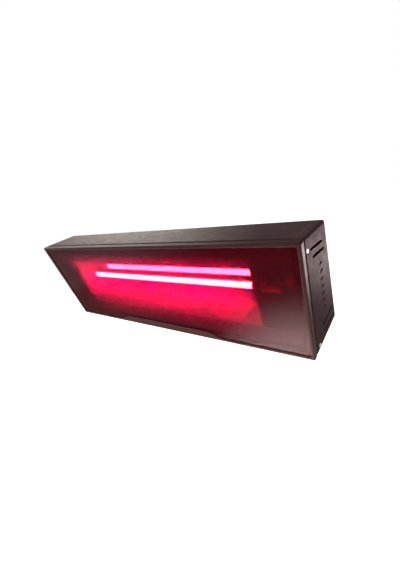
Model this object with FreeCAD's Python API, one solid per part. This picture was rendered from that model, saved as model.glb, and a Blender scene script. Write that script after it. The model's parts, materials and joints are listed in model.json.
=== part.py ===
"""Glass-fronted infrared panel heater on a tilting wall bracket, in millimetres.

X runs along the heater, Y points back to the wall and Z points up. The origin is the centre of the four
wall holes, on the wall plane. The heater's own sizes are given as depth behind the front face and height
above the bottom of the front frame.
"""

import FreeCAD, Part

import math
import os

V = FreeCAD.Vector

# Outside of the heater
length = 520.0
height = 163.0
top_depth = 72.0
top_drop = 9.4
bottom_depth = 89.0
bottom_rise = 3.0
frame_depth = 8.0

# Sheet metal casing
sheet = 1.2
fold_radius = 3.4
least_radius = 0.3
cap_depth = 10.0
cap_edge_radius = 3.2
return_flange = 12.0

# Front frame with its raised lip in the middle of the lower edge
frame_wall = 1.5
frame_lip = 4.0
frame_corner_radius = 2.0
frame_edge_radius = 0.8
seam_gap = 1.0
seam_depth = 0.8
lip_rise = 13.5
lip_top_length = 190.0
lip_base_length = 238.0
lip_blend_radius = 16.0
tab_thickness = 2.0
tab_reach = 20.0
tab_half_width = 5.0
tab_gap = 0.2

# Glass and its seal
glass_thickness = 4.0
glass_gap = 0.5
glass_edge_chamfer = 0.6
gasket_width = 7.0
gasket_inset = 4.5

# End cap openings and screws
end_slot_width = 3.6
upper_slot_length = 37.0
upper_slot_angle = -13.0
upper_slot_inset = 23.5
upper_slot_depth = 40.0
upper_slot_pitch = 11.0
upper_slot_step = 4.0
lower_slot_length = 41.0
lower_slot_angle = 2.0
lower_slot_inset = 14.6
lower_slot_depth = 61.0
lower_slot_pitch = 14.0
lower_slot_step = -4.4
vent_count = 7
vent_pitch = 10.4
vent_length = 9.0
vent_width = 3.2
vent_depth = 48.0
upper_screw_inset = 15.5
upper_screw_depth = 12.5
lower_screw_inset = 8.5
lower_screw_depth = 20.0
screw_radius = 1.5
screw_head_radius = 2.75
screw_head_height = 1.6
screw_length = 8.0
screw_clearance = 0.1

# Reflector trough
opening_end_margin = 70.0
opening_low_margin = 36.0
opening_high_margin = 33.0
trough_wall_run = 15.0
trough_depth = 35.2
reflector_sheet = 0.8
reflector_rim = 8.0
rail_sheet = 1.2
rail_overhang = 55.0
rail_overlap = 8.0
rivet_radius = 1.6
rivet_head_radius = 3.0
rivet_head_height = 0.9
rivet_inset = 85.0
end_wall = 1.0
end_wall_margin = 2.0
foot_length = 36.0
foot_half_height = 15.0

# Lamp
lamp_stand_off = 15.1
lamp_rise = 4.0
tube_radius = 6.2
tube_wall = 1.1
tube_overhang = 6.0
element_end_gap = 13.0
element_width = 9.4
element_thickness = 0.8
clamp_length = 9.0
clamp_clearance = 0.1
lamp_hole_radius = 9.0
lamp_cap_radius = 7.4
lamp_cap_length = 26.0
lamp_cap_overlap = 4.0
lamp_cap_flat = 1.6
holder_length = 12.0
holder_sheet = 1.2
holder_clearance = 0.2

# Wiring
wire_radius = 1.6
wire_exit = 16.0
wire_end_gap = 6.0
wire_turn = 28.0
wire_lift = 16.0
wire_bend_share = 0.45
block_length = 46.0
block_height = 20.0
block_depth = 17.0
block_inset = 142.0
block_z = 118.0
block_poles = 3
block_screw_radius = 3.0
block_web = 2.0
block_groove = 1.0
gland_inset = 70.0
gland_z = 46.0
gland_radius = 8.0
gland_bore = 4.2
gland_hex = 22.0
gland_hex_height = 5.0
gland_dome_radius = 9.0
gland_tip_radius = 6.5
gland_dome_height = 14.0
gland_thread = 8.0
gland_nut_height = 4.0
gland_clearance = 0.1

# Wall bracket and tilt joint
wall_distance = 140.0
mount_height = 52.0
bracket_sheet = 3.0
bracket_fold_radius = 2.0
bracket_half_width = 133.0
plate_half_height = 37.0
plate_corner_radius = 5.0
wall_hole_radius = 3.3
wall_hole_spacing_x = 200.0
wall_hole_spacing_z = 44.0
pivot_z = 45.0
pivot_stand_off = 22.0
pivot_boss_radius = 18.0
pivot_radius = 4.0
pivot_clearance = 0.06
lock_radius = 3.0
lock_clearance = 0.3
lock_distance = 26.0
lock_angle = 70.0
tilt_range = 45.0
slot_margin = 7.0
arm_rise = 36.0
lug_sheet = 3.0
lug_base = 22.0
lug_low = 20.0
lug_high = 40.0
lug_pivot_radius = 13.0
lug_lock_radius = 8.5
lug_foot_angle = -80.0
lug_nose_angle = -10.0
lug_screw_radius = 2.5
lug_screw_head_radius = 4.75
lug_screw_head_height = 2.8
lug_screw_nut_height = 4.0
lug_screw_nut_flats = 8.0
lug_screw_spread = 11.0
washer_thickness = 1.0
washer_overlap = 3.0
bolt_head_ratio = 0.7
pivot_hex = 13.0
lock_hex = 10.0

# Places that follow from the sizes above
glass_depth = frame_wall
gasket_depth = glass_depth + glass_thickness
flange_depth = frame_depth + sheet
rim_depth = flange_depth + rail_sheet
trough_back = rim_depth + trough_depth
lamp_depth = trough_back - lamp_stand_off
middle = height / 2
opening_length = length - 2 * opening_end_margin
opening_low = opening_low_margin
opening_high = height - opening_high_margin
opening_height = opening_high - opening_low
opening_centre = (opening_low + opening_high) / 2
trough_back_height = opening_height - 2 * trough_wall_run
tube_length = opening_length + 2 * tube_overhang
element_length = opening_length - 2 * element_end_gap
lamp_z = opening_centre + lamp_rise
rail_length = opening_length + 2 * rail_overhang
rivet_x = rail_length / 2 - rivet_inset
block_x = length / 2 - block_inset
gland_x = gland_inset - length / 2
cap_inner_x = length / 2 - sheet
shell_half = length / 2 - cap_depth
tab_outer_x = cap_inner_x - tab_gap
reflector_half = opening_length / 2
arm_inner_x = bracket_half_width - bracket_sheet
lug_outer_x = arm_inner_x - washer_thickness
section = ((frame_depth, height), (top_depth, height - top_drop),
           (bottom_depth, bottom_rise), (frame_depth, 0.0))
back_slope = (bottom_depth - top_depth) / (height - top_drop - bottom_rise)
back_angle = math.degrees(math.atan(back_slope))


def at(x, depth, z):
    """A point of the heater, from its depth behind the front face and its height above the frame's foot."""
    return V(x, depth - wall_distance, z - mount_height)


def back_depth(z):
    """Depth of the casing's outer back face at a height."""
    return bottom_depth - back_slope * (z - bottom_rise)


pivot_depth = back_depth(pivot_z) + pivot_stand_off


def offset_chain(points, distance, closed=False):
    """Moves each side of a line of (depth, z) points to its left by a distance."""
    count = len(points)
    sides = []
    for i in range(count if closed else count - 1):
        (a, b), (c, d) = points[i], points[(i + 1) % count]
        run = math.hypot(c - a, d - b)
        shift = (-(d - b) / run * distance, (c - a) / run * distance)
        sides.append(((a + shift[0], b + shift[1]), (c + shift[0], d + shift[1])))
    moved = []
    for i in range(count):
        if not closed and i == 0:
            moved.append(sides[0][0])
        elif not closed and i == count - 1:
            moved.append(sides[-1][1])
        else:
            moved.append(crossing(sides[i - 1], sides[i % len(sides)]))
    return moved


def crossing(first, second):
    """Where two endless lines meet, each given by two points."""
    (x1, y1), (x2, y2) = first
    (x3, y3), (x4, y4) = second
    scale = (x1 - x2) * (y3 - y4) - (y1 - y2) * (x3 - x4)
    p, q = x1 * y2 - y1 * x2, x3 * y4 - y3 * x4
    return ((p * (x3 - x4) - (x1 - x2) * q) / scale, (p * (y3 - y4) - (y1 - y2) * q) / scale)


def round_wire(points, radii, closed=True):
    """A wire through 3-D points, with an arc of the given radius at each corner that has one."""
    count = len(points)
    starts, ends, middles = [], [], []
    for i, point in enumerate(points):
        radius = radii[i]
        if radius <= 0 or (not closed and i in (0, count - 1)):
            starts.append(point)
            ends.append(point)
            middles.append(None)
            continue
        before = (points[i - 1] - point).normalize()
        after = (points[(i + 1) % count] - point).normalize()
        half = before.getAngle(after) / 2
        reach = radius / math.tan(half)
        bisector = (before + after).normalize()
        starts.append(point + before * reach)
        ends.append(point + after * reach)
        middles.append(point + bisector * (radius / math.sin(half) - radius))
    edges = []
    for i in range(count):
        if middles[i] is not None:
            edges.append(Part.Arc(starts[i], middles[i], ends[i]).toShape())
        if i < count - 1 or closed:
            following = starts[(i + 1) % count]
            if ends[i].distanceToPoint(following) > 1e-6:
                edges.append(Part.LineSegment(ends[i], following).toShape())
    return Part.Wire(edges)


def side_prism(points, x_low, x_high, radii=None):
    """A solid with an outline of (depth, z) points, running along X."""
    corners = [at(x_low, depth, z) for depth, z in points]
    wire = round_wire(corners, radii or [0] * len(points))
    return Part.Face(wire).extrude(V(x_high - x_low, 0, 0))


def front_prism(points, depth_low, depth_high, radii=None):
    """A solid with an outline of (x, z) points, running back from one depth to another."""
    corners = [at(x, depth_low, z) for x, z in points]
    wire = round_wire(corners, radii or [0] * len(points))
    return Part.Face(wire).extrude(V(0, depth_high - depth_low, 0))


def rectangle(half_width, low, high):
    return ((-half_width, low), (half_width, low), (half_width, high), (-half_width, high))


def along_x(x_low, x_high, depth, z, radius):
    return Part.makeCylinder(radius, x_high - x_low, at(x_low, depth, z), V(1, 0, 0))


def along_depth(depth_low, depth_high, x, z, radius):
    return Part.makeCylinder(radius, depth_high - depth_low, at(x, depth_low, z), V(0, 1, 0))


def end_slot(depth, z, slot_length, slot_width, angle):
    """A cutter for a round-ended slot through the right-hand end cap. The angle lifts its back end."""
    half = (slot_length - slot_width) / 2
    radius = slot_width / 2
    bar = Part.makeBox(cap_depth, 2 * half, slot_width, V(shell_half, -half, -radius))
    ends = [Part.makeCylinder(radius, cap_depth, V(shell_half, y, 0), V(1, 0, 0)) for y in (-half, half)]
    slot = bar.fuse(ends).removeSplitter()
    slot.rotate(V(0, 0, 0), V(1, 0, 0), angle)
    slot.translate(at(0, depth, z))
    return slot


def hexagon(flats, thickness):
    """A hexagonal prism standing on the origin along +Z."""
    corner = flats / math.sqrt(3)
    angles = [math.radians(60 * i) for i in range(6)]
    points = [V(corner * math.cos(angle), corner * math.sin(angle), 0) for angle in angles]
    return Part.Face(Part.makePolygon(points + points[:1])).extrude(V(0, 0, thickness))


def on_x(shape, x, depth, z, direction):
    """Turns a shape that stands on the origin along +Z to stand along +X or -X at a point."""
    turned = shape.copy()
    turned.rotate(V(0, 0, 0), V(0, 1, 0), 90 * direction)
    turned.translate(at(x, depth, z))
    return turned


def on_back(shape, x, z, inward=0.0):
    """Stands a shape, built on the origin along +Z, out of the casing's back, as deep inward as asked."""
    placed = shape.copy()
    placed.translate(V(0, 0, -inward))
    placed.rotate(V(0, 0, 0), V(1, 0, 0), back_angle - 90)
    placed.translate(at(x, back_depth(z), z))
    return placed


def mirrored(shape):
    return shape.mirror(V(0, 0, 0), V(1, 0, 0))


def solids(*shapes):
    return Part.makeCompound([solid for shape in shapes for solid in shape.Solids])


def casing_outline(inset):
    """The casing's cross-section, moved inward by a wall, with its fold radii."""
    radius = max(fold_radius - inset, least_radius)
    points = section if inset == 0 else offset_chain(section, -inset, closed=True)
    return points, [radius] * len(points)


def lug_screw_places():
    centre_z = pivot_z + (lug_high - lug_low) / 2
    centre_x = lug_outer_x - lug_base / 2 - lug_sheet / 2
    return [(side * centre_x, centre_z + step * lug_screw_spread) for side in (-1, 1) for step in (-1, 1)]


def back_holes():
    """Cutters for the holes in the casing's back: the lug screws and the cable gland."""
    screw = Part.makeCylinder(lug_screw_radius + screw_clearance, 4 * sheet)
    gland = Part.makeCylinder(gland_radius + gland_clearance, 4 * sheet)
    cutters = [on_back(screw, x, z, 2 * sheet) for x, z in lug_screw_places()]
    return cutters + [on_back(gland, gland_x, gland_z, 2 * sheet)]


def rivet_places():
    """(x, z) of the rivets that join rails and casing, then of those that join trough and rails."""
    flange_z = (return_flange - rail_overlap / 2, height - return_flange + rail_overlap / 2)
    rim_z = (opening_low - reflector_rim / 2, opening_high + reflector_rim / 2)
    outer = [(x, z) for x in (-rivet_x, rivet_x) for z in flange_z]
    inner = [(x, z) for x in (-rivet_x, rivet_x) for z in rim_z]
    return outer, inner


def make_housing_shell():
    outer, outer_radii = casing_outline(0)
    inner, inner_radii = casing_outline(sheet)
    shell = side_prism(outer, -shell_half, shell_half, outer_radii)
    shell = shell.cut(side_prism(inner, -shell_half, shell_half, inner_radii))
    mouth = front_prism(rectangle(length, return_flange, height - return_flange), 0, flange_depth)
    holes = [along_depth(0, flange_depth, x, z, rivet_radius) for x, z in rivet_places()[0]]
    return shell.cut([mouth] + holes + back_holes())


def end_screw_places():
    """(depth, z) of the two screws in each end cap."""
    return [(upper_screw_depth, height - upper_screw_inset), (lower_screw_depth, lower_screw_inset)]


def make_end_cap():
    """The pressed right-hand end: a flat face with a rounded edge and a rim that meets the casing."""
    outer, outer_radii = casing_outline(0)
    inner, inner_radii = casing_outline(sheet)
    blank = side_prism(outer, shell_half, length / 2, outer_radii)
    face_edges = [e for e in blank.Edges if e.BoundBox.XMin > length / 2 - 1e-6]
    cap = blank.makeFillet(cap_edge_radius, face_edges)
    cap = cap.cut(side_prism(inner, shell_half, cap_inner_x, inner_radii))
    cutters = []
    for depth, z in end_screw_places():
        cutters.append(along_x(shell_half, length, depth, z, screw_radius + screw_clearance))
        low, high = z - tab_half_width - sheet, z + tab_half_width + sheet
        gap = ((0, low), (0, high), (flange_depth, high), (flange_depth, low))
        cutters.append(side_prism(gap, shell_half, cap_inner_x))
    for row in (0, 1):
        depth = upper_slot_depth + row * upper_slot_step
        z = height - upper_slot_inset - row * upper_slot_pitch
        cutters.append(end_slot(depth, z, upper_slot_length, end_slot_width, upper_slot_angle))
        depth = lower_slot_depth + row * lower_slot_step
        z = lower_slot_inset + row * lower_slot_pitch
        cutters.append(end_slot(depth, z, lower_slot_length, end_slot_width, lower_slot_angle))
    for i in range(vent_count):
        z = middle + (i - (vent_count - 1) / 2) * vent_pitch
        cutters.append(end_slot(vent_depth, z, vent_length, vent_width, 0))
    return cap.cut(cutters)


def make_front_frame():
    """A shallow frame round the glass, with a raised lip in the lower middle and four screw tabs."""
    block = front_prism(rectangle(length / 2, 0, height), 0, frame_depth, [frame_corner_radius] * 4)
    front_edges = [e for e in block.Edges if e.BoundBox.YMax < at(0, 0, 0).y + 1e-6]
    block = block.makeFillet(frame_edge_radius, front_edges)
    inside = rectangle(length / 2 - frame_wall, frame_wall, height - frame_wall)
    pocket = front_prism(inside, frame_wall, frame_depth)
    x, top, base = length / 2 - frame_lip, lip_top_length / 2, lip_base_length / 2
    window = [(-x, frame_lip), (-base, frame_lip), (-top, lip_rise), (top, lip_rise),
              (base, frame_lip), (x, frame_lip), (x, height - frame_lip), (-x, height - frame_lip)]
    blend = lip_blend_radius
    corner = frame_corner_radius
    radii = [corner, blend, blend, blend, blend, corner, corner, corner]
    frame = block.cut([pocket, front_prism(window, 0, frame_wall, radii)])
    tabs, holes = [], []
    for depth, z in end_screw_places():
        low, high = z - tab_half_width, z + tab_half_width
        start = gasket_depth + tab_gap
        end = start + tab_reach
        outline = ((start, low), (end, low), (end, high), (start, high))
        tabs.append(side_prism(outline, tab_outer_x - tab_thickness, tab_outer_x))
        root = ((start, low), (frame_depth, low), (frame_depth, high), (start, high))
        tabs.append(side_prism(root, tab_outer_x - tab_thickness, length / 2 - frame_wall / 2))
        holes.append(along_x(tab_outer_x - 2 * tab_thickness, length / 2, depth, z, screw_radius))
    tabs += [mirrored(tab) for tab in tabs]
    holes += [mirrored(hole) for hole in holes]
    rear = frame_depth - seam_gap
    seam = front_prism(rectangle(length, -height, 2 * height), rear, frame_depth)
    inside = rectangle(length / 2 - seam_depth, seam_depth, height - seam_depth)
    seam = seam.cut(front_prism(inside, rear, frame_depth, [frame_corner_radius] * 4))
    return frame.fuse(tabs).removeSplitter().cut(holes + [seam])


def make_glass_panel():
    edge = frame_wall + glass_gap
    outline = rectangle(length / 2 - edge, edge, height - edge)
    glass = front_prism(outline, glass_depth, gasket_depth, [frame_corner_radius] * 4)
    faces = (at(0, glass_depth, 0).y, at(0, gasket_depth, 0).y)
    flat = [e for e in glass.Edges if e.BoundBox.YLength < 1e-6]
    rims = [e for e in flat if min(abs(e.BoundBox.YMin - y) for y in faces) < 1e-6]
    return glass.makeChamfer(glass_edge_chamfer, rims)


def make_glass_gasket():
    outer = rectangle(length / 2 - gasket_inset, gasket_inset, height - gasket_inset)
    inset = gasket_inset + gasket_width
    inner = rectangle(length / 2 - inset, inset, height - inset)
    ring = front_prism(outer, gasket_depth, frame_depth, [frame_corner_radius] * 4)
    return ring.cut(front_prism(inner, gasket_depth, frame_depth, [frame_corner_radius] * 4))


def trough_profile():
    """The trough's inner face from its upper rim to its lower rim, as (depth, z) points."""
    high, low = opening_centre + trough_back_height / 2, opening_centre - trough_back_height / 2
    return [(rim_depth, opening_high + reflector_rim), (rim_depth, opening_high), (trough_back, high),
            (trough_back, low), (rim_depth, opening_low), (rim_depth, opening_low - reflector_rim)]


def make_reflector():
    inside = trough_profile()
    outside = offset_chain(inside, reflector_sheet)
    trough = side_prism(inside + outside[::-1], -reflector_half, reflector_half)
    front, back = rim_depth - reflector_sheet, rim_depth + 2 * reflector_sheet
    holes = [along_depth(front, back, x, z, rivet_radius) for x, z in rivet_places()[1]]
    return trough.cut(holes)


def make_rail(low, high):
    """A black strip that carries the trough's rim from the casing's front flange."""
    rail = front_prism(rectangle(rail_length / 2, low, high), flange_depth, rim_depth)
    outer, inner = rivet_places()
    return rail.cut([along_depth(0, trough_back, x, z, rivet_radius) for x, z in outer + inner])


def make_rivets():
    """Blind rivets: those through the casing's flange, then those through the trough's rim."""
    made = []
    outer, inner = rivet_places()
    layers = ((outer, frame_depth, rim_depth), (inner, flange_depth, rim_depth + reflector_sheet))
    for places, front, back in layers:
        for x, z in places:
            shank = along_depth(front, back, x, z, rivet_radius)
            tail = along_depth(back, back + rivet_head_height, x, z, rivet_head_radius)
            made.append(shank.fuse(tail).removeSplitter())
    return solids(*made)


def make_reflector_end():
    """The right-hand end wall of the trough, with the lamp's hole and a foot for the lamp holder."""
    back = trough_back_height / 2 + end_wall_margin
    rim = opening_height / 2 + end_wall_margin
    foot_front = trough_back + reflector_sheet
    foot_back = foot_front + end_wall
    outline = ((rim_depth, opening_centre + rim), (foot_back, opening_centre + back),
               (foot_back, opening_centre - back), (rim_depth, opening_centre - rim))
    wall = side_prism(outline, reflector_half, reflector_half + end_wall)
    low, high = lamp_z - foot_half_height, lamp_z + foot_half_height
    foot = side_prism(((foot_front, low), (foot_back, low), (foot_back, high), (foot_front, high)),
                      reflector_half, reflector_half + foot_length)
    hole = along_x(reflector_half, reflector_half + end_wall, lamp_depth, lamp_z, lamp_hole_radius)
    return wall.fuse(foot).removeSplitter().cut(hole)


def make_lamp_tube():
    half = tube_length / 2
    tube = along_x(-half, half, lamp_depth, lamp_z, tube_radius)
    return tube.cut(along_x(-half, half, lamp_depth, lamp_z, tube_radius - tube_wall))


def make_heating_element():
    half, reach, depth = element_width / 2, element_length / 2, element_thickness / 2
    outline = ((lamp_depth - depth, lamp_z - half), (lamp_depth + depth, lamp_z - half),
               (lamp_depth + depth, lamp_z + half), (lamp_depth - depth, lamp_z + half))
    return side_prism(outline, -reach, reach)


def make_element_clamps():
    """The two plugs that hold the element's ends in the middle of the tube."""
    start = element_length / 2
    radius = tube_radius - tube_wall - clamp_clearance
    plug = along_x(start, start + clamp_length, lamp_depth, lamp_z, radius)
    return solids(plug, mirrored(plug))


def lamp_cap_span():
    start = tube_length / 2 - lamp_cap_overlap
    return start, start + lamp_cap_length


def make_lamp_cap():
    """The right-hand ceramic end of the lamp, flattened above and below, with a bore for its wire."""
    start, end = lamp_cap_span()
    cap = along_x(start, end, lamp_depth, lamp_z, lamp_cap_radius)
    for side in (-1, 1):
        flat = lamp_z + side * (lamp_cap_radius - lamp_cap_flat)
        outer = lamp_z + side * 2 * lamp_cap_radius
        reach = 2 * lamp_cap_radius
        near, far = lamp_depth - reach, lamp_depth + reach
        outline = ((near, flat), (far, flat), (far, outer), (near, outer))
        cap = cap.cut(side_prism(outline, start + lamp_cap_overlap + tube_wall, end))
    bore = along_x(start, start + lamp_cap_overlap, lamp_depth, lamp_z, tube_radius)
    return cap.cut(bore)


def make_lamp_holder():
    """A spring clip on the end wall's foot, open to the front, that grips the flats of the lamp's end."""
    start, end = lamp_cap_span()
    centre = (start + lamp_cap_overlap + tube_wall + end) / 2
    base = trough_back + reflector_sheet
    inner = lamp_cap_radius - lamp_cap_flat + holder_clearance
    front = lamp_depth - lamp_cap_radius
    seat = base - holder_sheet
    high, low = lamp_z + inner, lamp_z - inner
    inside = [(front, high), (seat, high), (seat, low), (front, low)]
    outside = offset_chain(inside, holder_sheet)
    return side_prism(inside + outside[::-1], centre - holder_length / 2, centre + holder_length / 2)


def lead_wire(points):
    """A sleeved wire along straight runs joined by arcs as large as the runs allow."""
    radii = [0.0]
    for i in range(1, len(points) - 1):
        before, after = points[i - 1] - points[i], points[i + 1] - points[i]
        turn = math.pi - before.getAngle(after)
        radii.append(wire_bend_share * min(before.Length, after.Length) / math.tan(turn / 2))
    radii.append(0.0)
    path = round_wire(points, radii, closed=False)
    start = points[1] - points[0]
    profile = Part.Wire(Part.makeCircle(wire_radius, points[0], start))
    wire = path.makePipeShell([profile], True, False)
    print("wire bend radii", [round(r, 1) for r in radii[1:-1]], "volume over section times length",
          round(wire.Volume / (math.pi * wire_radius ** 2 * path.Length), 4))
    return wire


def block_middle_depth():
    """Depth of the middle of the terminal block."""
    return back_depth(block_z) - sheet - block_depth / 2


def make_lead_wires():
    """The two wires from the lamp's ends to the sides of the terminal block."""
    end = lamp_cap_span()[1]
    block_middle = block_middle_depth()
    turn = shell_half - wire_end_gap
    made = []
    for side in (1, -1):
        route = [at(side * end, lamp_depth, lamp_z), at(side * (end + wire_exit), lamp_depth, lamp_z),
                 at(side * turn, (lamp_depth + block_middle) / 2, lamp_z + wire_lift),
                 at(side * (turn - wire_turn), block_middle, block_z),
                 at(block_x + side * block_length / 2, block_middle, block_z)]
        made.append(lead_wire(route))
    return made


def make_terminal_block():
    """A ceramic block with a tower for each pole and a screw well in each tower."""
    base_height = block_depth / 2
    corner = V(-block_length / 2, -block_height / 2, 0)
    block = Part.makeBox(block_length, block_height, base_height, corner)
    pitch = block_length / block_poles
    for i in range(block_poles):
        x = (i - (block_poles - 1) / 2) * pitch
        half = pitch / 2 - block_web / 2
        corner = V(x - half, -block_height / 2, base_height)
        block = block.fuse(Part.makeBox(2 * half, block_height, block_depth - base_height, corner))
    block = block.removeSplitter()
    for i in range(block_poles):
        x = (i - (block_poles - 1) / 2) * pitch
        well = Part.makeCylinder(block_screw_radius, block_depth - base_height, V(x, 0, base_height))
        block = block.cut(well)
    block.rotate(V(0, 0, 0), V(1, 0, 0), 180)
    return on_back(block, block_x, block_z, sheet)


def make_terminal_screws():
    pitch = block_length / block_poles
    made = []
    for i in range(block_poles):
        x = (i - (block_poles - 1) / 2) * pitch
        screw = Part.makeCylinder(block_screw_radius - screw_clearance, block_depth / 4)
        corner = V(-block_screw_radius, -block_groove / 2, block_depth / 4 - block_groove)
        screw = screw.cut(Part.makeBox(2 * block_screw_radius, block_groove, block_groove, corner))
        screw.translate(V(x, 0, block_depth / 2))
        screw.rotate(V(0, 0, 0), V(1, 0, 0), 180)
        made.append(on_back(screw, block_x, block_z, sheet))
    return solids(*made)


def make_cable_gland():
    """The gland body outside the back, with its domed clamp and its thread through the sheet."""
    body = hexagon(gland_hex, gland_hex_height)
    dome = Part.makeCone(gland_dome_radius, gland_tip_radius, gland_dome_height, V(0, 0, gland_hex_height))
    thread = Part.makeCylinder(gland_radius, gland_thread, V(0, 0, -gland_thread))
    gland = body.fuse([dome, thread]).removeSplitter()
    total = gland_thread + gland_hex_height + gland_dome_height
    gland = gland.cut(Part.makeCylinder(gland_bore, total, V(0, 0, -gland_thread)))
    return on_back(gland, gland_x, gland_z)


def make_gland_nut():
    hole = Part.makeCylinder(gland_radius + gland_clearance, gland_nut_height)
    nut = hexagon(gland_hex, gland_nut_height).cut(hole)
    return on_back(nut, gland_x, gland_z, sheet + gland_nut_height)


def make_end_screws():
    """Domed screws through the end caps into the frame's tabs."""
    made = []
    for depth, z in end_screw_places():
        shank = along_x(length / 2 - screw_length, length / 2, depth, z, screw_radius)
        sphere_radius = (screw_head_radius ** 2 + screw_head_height ** 2) / (2 * screw_head_height)
        centre = at(length / 2 + screw_head_height - sphere_radius, depth, z)
        dome = Part.makeSphere(sphere_radius, centre).common(
            along_x(length / 2, length / 2 + screw_head_height, depth, z, screw_head_radius))
        screw = dome.fuse(shank).removeSplitter()
        made += [screw, mirrored(screw)]
    return solids(*made)


def turn_point(angle, radius):
    """A point round the tilt axis, at an angle from straight back towards up, as (depth, z)."""
    turn = math.radians(angle)
    return (pivot_depth + radius * math.cos(turn), pivot_z + radius * math.sin(turn))


def make_lug():
    """The right-hand angle on the casing's back: a base on the sheet and an ear for the two bolts."""
    low, high = pivot_z - lug_low, pivot_z + lug_high
    inner, outer = lug_outer_x - lug_sheet, lug_outer_x
    strip = [(back_depth(low), low), (back_depth(high), high)]
    raised = offset_chain(strip, -lug_sheet)
    base = side_prism(strip + raised[::-1], inner - lug_base + lug_sheet, outer)
    lock = turn_point(lock_angle, lock_distance)
    foot = turn_point(lug_foot_angle, lug_pivot_radius)
    nose = turn_point(lug_nose_angle, lug_pivot_radius)
    outline = (strip[0], foot, nose, (lock[0] + lug_lock_radius, lock[1]),
               (lock[0], lock[1] + lug_lock_radius), strip[1])
    web = side_prism(outline, inner, outer)
    pivot_ear = along_x(inner, outer, pivot_depth, pivot_z, lug_pivot_radius)
    lock_ear = along_x(inner, outer, lock[0], lock[1], lug_lock_radius)
    lug = base.fuse([web, pivot_ear, lock_ear]).removeSplitter()
    screw = Part.makeCylinder(lug_screw_radius + screw_clearance, 4 * lug_sheet)
    holes = [on_back(screw, x, z, lug_sheet) for x, z in lug_screw_places() if x > 0]
    holes.append(along_x(inner, outer, pivot_depth, pivot_z, pivot_radius))
    holes.append(along_x(inner, outer, lock[0], lock[1], lock_radius))
    return lug.cut(holes)


def make_lug_screws():
    """Pan-head screws with nuts inside the casing."""
    made = []
    for x, z in lug_screw_places():
        inner_end = sheet + lug_screw_nut_height
        shank = Part.makeCylinder(lug_screw_radius, lug_sheet + inner_end, V(0, 0, -inner_end))
        crown = lug_screw_head_radius - lug_screw_head_height / 2
        head = Part.makeCone(lug_screw_head_radius, crown, lug_screw_head_height, V(0, 0, lug_sheet))
        nut = hexagon(lug_screw_nut_flats, lug_screw_nut_height)
        nut.translate(V(0, 0, -inner_end))
        made.append(on_back(head.fuse([shank, nut]).removeSplitter(), x, z))
    return solids(*made)


def make_tilt_bolts(depth, z, radius, flats):
    """A pair of hexagon bolts from outside the bracket's arms through the lugs, each with its nut."""
    head_height = 2 * radius * bolt_head_ratio
    grip = bracket_sheet + washer_thickness + lug_sheet
    reach = grip + 2 * head_height
    shank = Part.makeCylinder(radius, reach, V(0, 0, -reach))
    nut = hexagon(flats, head_height)
    nut.translate(V(0, 0, -grip - head_height))
    bolt = hexagon(flats, head_height).fuse([shank, nut]).removeSplitter()
    bolt = on_x(bolt, bracket_half_width, depth, z, 1)
    return solids(bolt, mirrored(bolt))


def make_washers():
    """Friction washers between the lugs and the arms, on the pivot bolts."""
    outer = pivot_radius + pivot_clearance + washer_overlap
    ring = along_x(lug_outer_x, arm_inner_x, pivot_depth, pivot_z, outer)
    ring = ring.cut(along_x(lug_outer_x, arm_inner_x, pivot_depth, pivot_z, pivot_radius))
    return solids(ring, mirrored(ring))


def arc_slot(x_low, x_high, radius, half_width, first, last):
    """A round-ended slot that follows a circle round the tilt axis."""
    inner, outer = radius - half_width, radius + half_width
    between = (first + last) / 2

    def point(angle, distance):
        return at(x_low, *turn_point(angle, distance))

    def tip(angle, step):
        turn = math.radians(angle)
        along = V(0, -math.sin(turn), math.cos(turn))
        return at(x_low, *turn_point(angle, radius)) + along * half_width * step

    edges = [Part.Arc(point(first, outer), point(between, outer), point(last, outer)),
             Part.Arc(point(last, outer), tip(last, 1), point(last, inner)),
             Part.Arc(point(last, inner), point(between, inner), point(first, inner)),
             Part.Arc(point(first, inner), tip(first, -1), point(first, outer))]
    wire = Part.Wire([edge.toShape() for edge in edges])
    return Part.Face(wire).extrude(V(x_high - x_low, 0, 0))


def make_bracket_arm():
    """The right-hand arm of the bracket, with the pivot hole and the tilt slot."""
    inner, outer, front = arm_inner_x, bracket_half_width, wall_distance - bracket_sheet
    low, high = pivot_z - pivot_boss_radius, pivot_z + arm_rise
    outline = ((pivot_depth, low), (front, low), (front, high), (pivot_depth, high))
    web = side_prism(outline, inner, outer, [0, 0, 0, plate_corner_radius])
    boss = along_x(inner, outer, pivot_depth, pivot_z, pivot_boss_radius)
    slot_half = lock_radius + lock_clearance
    reach = lock_distance + slot_half + slot_margin
    last = lock_angle + tilt_range
    guard = arc_slot(inner, outer, lock_distance, slot_half + slot_margin, lock_angle, last)
    fan_outline = ((pivot_depth, pivot_z), turn_point(lock_angle, reach), turn_point(last, reach))
    fan = side_prism(fan_outline, inner, outer)
    hole = along_x(inner, outer, pivot_depth, pivot_z, pivot_radius + pivot_clearance)
    slot = arc_slot(inner, outer, lock_distance, slot_half, lock_angle, last)
    return web.fuse([boss, guard, fan]).removeSplitter().cut([hole, slot])


def upright_edges(shape, x, depth):
    """Edges that run straight up at a distance either side of the middle."""
    y = at(0, depth, 0).y
    boxes = [(edge, edge.BoundBox) for edge in shape.Edges]
    upright = [(edge, box) for edge, box in boxes if max(box.XLength, box.YLength) < 1e-6]
    return [edge for edge, box in upright if abs(abs(box.XMin) - x) < 1e-6 and abs(box.YMin - y) < 1e-6]


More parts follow.
